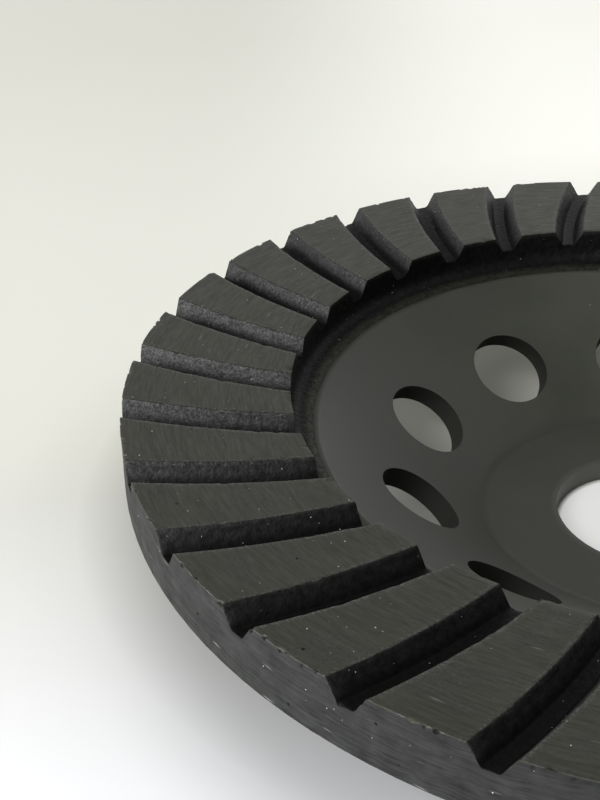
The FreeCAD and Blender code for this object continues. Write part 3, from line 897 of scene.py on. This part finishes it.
band, tree, shader = new_material("turned_sintered_band", {
    "IOR": 1.5, "Specular IOR Level": 0.08, "Roughness": 0.7})
place = add_node(tree, "ShaderNodeTexCoord", output="Object")
band_colour, band_relief = turned_band(tree, place)
feed(tree, shader, {
    "Base Color": band_colour,
    "Normal": add_node(tree, "ShaderNodeBump", {
        "Height": band_relief, "Strength": BAND_STRENGTH, "Distance": BAND_RELIEF * MM}),
})
print("band: material", band.name)

# %% [markdown]
# ## The grit's finish
# Diamond is clear, but crushed grit looks frosted and pale. A rough, pale surface with diamond's IOR
# of 2.4 gives that glint, and costs far less time than real glass. Each crystal draws its own tint,
# and a power pushes most of them towards the dark one.

# %% Finish of the grit
TOWARDS_DARK = 2.0
crystals, tree, shader = new_material("diamond_grit", {"IOR": 2.4, "Roughness": 0.35})
crystal_draw = add_node(tree, "ShaderNodeNewGeometry", output="Random Per Island")
mostly_dark = add_node(tree, MATH, [crystal_draw, TOWARDS_DARK], operation="POWER")
pale =add_node(tree, MIX, [mostly_dark, linear("#6f706a"), linear("#deded6")], data_type="RGBA")
feed(tree, shader, {"Base Color": pale})
print("grit: material", crystals.name)

# %% [markdown]
# ## Satin enamel on the steel cup
# The cup is dipped or sprayed with a thin dark grey enamel after pressing. It's a dielectric coat
# with IOR 1.5, so it's not metallic. It levels into a satin skin with a faint orange peel about 1 mm
# wide, and it holds a few specks of dust. The bend round the hub is painted darker, as the shade in
# that crease, and the bore's wall and rim are painted paler, as a highlight. The CAD shape is right,
# so the cup keeps its own mesh.

# %% Enamel colour
ENAMEL_CLOUD = 9.0
DUST_SPACING, DUST_REACH, DUST_SHARE, DUST_SOFTNESS = 5.0, 0.045, 0.16, 0.6
DUST_STRENGTH = 0.7
BORE_RADIUS = 11.115
BORE_HIGHLIGHT_FULL, BORE_HIGHLIGHT_ENDS, BORE_HIGHLIGHT_STRENGTH = 0.3, 0.8, 0.5
HUB_RADIUS = 20.0
BEND_INSIDE, BEND_OUTSIDE, BEND_STRENGTH = 0.6, 1.2, 0.35
enamel, tree, shader = new_material("satin_enamel_on_steel", {"IOR": 1.5, "Specular IOR Level": 0.75})
coordinates = add_node(tree, "ShaderNodeTexCoord").node.outputs
place = coordinates["Object"]
from_axis = axis_distance(tree, place)

cloud = add_node(tree, NOISE, {
    "Vector": place, "Scale": 1 / (ENAMEL_CLOUD * MM), "Detail": 3.0, "Roughness": 0.6},
    output="Fac")
pale_clouds = add_node(tree, RANGE, [cloud, 0.3, 0.7])
tint = add_node(
    tree, MIX, [pale_clouds, linear("#383a31"), linear("#414339")], data_type="RGBA")
dust = spots(tree, place, 1 / (DUST_SPACING * MM), DUST_REACH, DUST_SHARE, DUST_SOFTNESS)
dust_part = add_node(tree, MATH, [dust, DUST_STRENGTH], operation="MULTIPLY")
dusty = add_node(tree, MIX, [dust_part, tint, linear("#8c8d87")], data_type="RGBA")

# The bend round the hub is painted darker as shade in the crease, and the bore's wall and rim are
# painted paler as a highlight
inside_bend = add_node(tree, RANGE, [from_axis, (HUB_RADIUS - BEND_INSIDE) * MM, HUB_RADIUS * MM])
outside_bend = add_node(
    tree, RANGE, [from_axis, HUB_RADIUS * MM, (HUB_RADIUS + BEND_OUTSIDE) * MM, 1.0, 0.0])
bend = add_node(tree, MATH, [inside_bend, outside_bend], operation="MULTIPLY")
bend_part = add_node(tree, MATH, [bend, BEND_STRENGTH], operation="MULTIPLY")
crease_shaded = add_node(tree, MIX, [bend_part, dusty, linear("#1c1d1a")], data_type="RGBA")
# Painted highlight: the bore's wall and the hub just round it are painted paler
rim = add_node(tree, RANGE, [
    from_axis, (BORE_RADIUS + BORE_HIGHLIGHT_FULL) * MM, (BORE_RADIUS + BORE_HIGHLIGHT_ENDS) * MM,
    BORE_HIGHLIGHT_STRENGTH, 0.0])
paler_at_edges = add_node(tree, MIX, [rim, crease_shaded, linear("#595b55")], data_type="RGBA")
print("enamel: clouds of", ENAMEL_CLOUD, "mm")

# %% [markdown]
# ## Bare walls of the dust holes
# The dust holes are punched after the coat, so their walls are bare steel, which is a metal. Their
# colour is painted nearly black, as the shade that lies inside the holes. They could be a material
# slot of their own. Here they're found by the way they face, because on the cone only a hole's wall
# has a normal that lies along the sheet.

# %% Bare steel in the dust holes
CONE_SLOPE = math.radians(32.7)
CONE_START, CONE_END = 21, 36
ALONG_SHEET = (0.25, 0.45)
upward = add_node(tree, SPLIT, [coordinates["Normal"]], output="Z")
outward = add_node(
    tree, VECTOR, [coordinates["Normal"], spoke_of(tree, place)], operation="DOT_PRODUCT")
upward_part = add_node(tree, MATH, [upward, math.cos(CONE_SLOPE)], operation="MULTIPLY")
outward_part = add_node(tree, MATH, [outward, math.sin(CONE_SLOPE)], operation="MULTIPLY")
through_sheet = add_node(tree, MATH, [upward_part, outward_part], operation="SUBTRACT")
off_sheet = add_node(tree, MATH, [through_sheet], operation="ABSOLUTE")
side_wall = add_node(tree, RANGE, [off_sheet, *ALONG_SHEET, 1.0, 0.0])
past_hub = add_node(tree, RANGE, [from_axis, CONE_START * MM, (CONE_START + 1) * MM])
before_flange = add_node(tree, RANGE, [from_axis, (CONE_END - 1) * MM, CONE_END * MM, 1.0, 0.0])
on_cone = add_node(tree, MATH, [past_hub, before_flange], operation="MULTIPLY")
punched = add_node(tree, MATH, [side_wall, on_cone], operation="MULTIPLY")
# Painted shade: the bare hole walls are coloured nearly black, as the shade inside the holes
holes_shaded = add_node(tree, MIX, [punched, paler_at_edges, linear("#3a3a37")], data_type="RGBA")
print("cone slope in degrees:", round(math.degrees(CONE_SLOPE), 1))

# %% [markdown]
# ## The flange's turned edge, and the enamel's skin
# The flange's edge was turned with the band, so beyond 62 mm it has the band's look. It's bare steel
# there, and a rough metal shows only its own colour, so that is written lighter. The relief is the
# enamel's orange peel, and the band's marks at the edge.

# %% Turned edge and skin
BAND_START, BAND_BLEND = 62.0, 0.2
EDGE_GAIN = 1.8
BARE_ROUGHNESS = 0.85
SATIN_LEAST, SATIN_MOST = 0.46, 0.56
ENAMEL_PEEL = 0.9
PEEL_DEPTH, PEEL_STRENGTH = 0.05, 0.25
turned = add_node(tree, RANGE, [from_axis, BAND_START * MM, (BAND_START + BAND_BLEND) * MM])
band_colour, band_relief = turned_band(tree, place)
bare_edge = add_node(tree, VECTOR, [band_colour, EDGE_GAIN], operation="SCALE")
dressed = add_node(tree, MIX, [turned, holes_shaded, bare_edge], data_type="RGBA")

satin = add_node(tree, RANGE, [cloud, 0.0, 1.0, SATIN_LEAST, SATIN_MOST])
bare = add_node(tree, MATH, [punched, turned], operation="MAXIMUM")
bare_part = add_node(tree, MATH, [bare, BARE_ROUGHNESS], operation="MULTIPLY")
peel = add_node(tree, NOISE, {
    "Vector": place, "Scale": 1 / (ENAMEL_PEEL * MM), "Detail": 2.0}, output="Fac")
skin = add_node(tree, MIX, [turned, peel, band_relief])
feed(tree, shader, {
    "Base Color": dressed,
    "Metallic": bare,
    "Roughness": add_node(tree, MATH, [satin, bare_part], operation="MAXIMUM"),
    "Normal": add_node(tree, "ShaderNodeBump", {
        "Height": skin, "Strength": PEEL_STRENGTH, "Distance": PEEL_DEPTH * MM}),
})

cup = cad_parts["steel_cup"]
cup.data.materials.clear()
cup.data.materials.append(enamel)
print("cup faces:", len(cup.data.polygons))

# %% [markdown]
# ## Putting the ring together
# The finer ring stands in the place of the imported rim, whose own mesh is too coarse to carry the wear,
# and the crystals ride on it. Each face gets one of the three finishes by its number, and only edges
# of more than 40 degrees are drawn sharp.

# %% Put the ring together
SHARP_EDGE = math.radians(40)
for material in (ground, walls, band):
    ring_mesh.materials.append(material)
ring_mesh.polygons.foreach_set("material_index", finish_of_face)
ring_mesh.polygons.foreach_set("use_smooth", [True] * len(ring_mesh.polygons))
ring_mesh.set_sharp_from_angle(angle=SHARP_EDGE)
grit_mesh.materials.append(crystals)
ring = bpy.data.objects.new("grooved_ring", ring_mesh)
grit = bpy.data.objects.new("grit_crystals", grit_mesh)
for piece in (ring, grit):
    bpy.context.collection.objects.link(piece)
    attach(piece, "root")
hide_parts("sintered_rim")
print("ring size, mm:", [round(value / MM, 2) for value in ring.dimensions])

# %% [markdown]
# ## Last update
# The dressed model stays inside the imported one. The view layer is updated once more at the end.

# %% Update the view layer
bpy.context.view_layer.update()
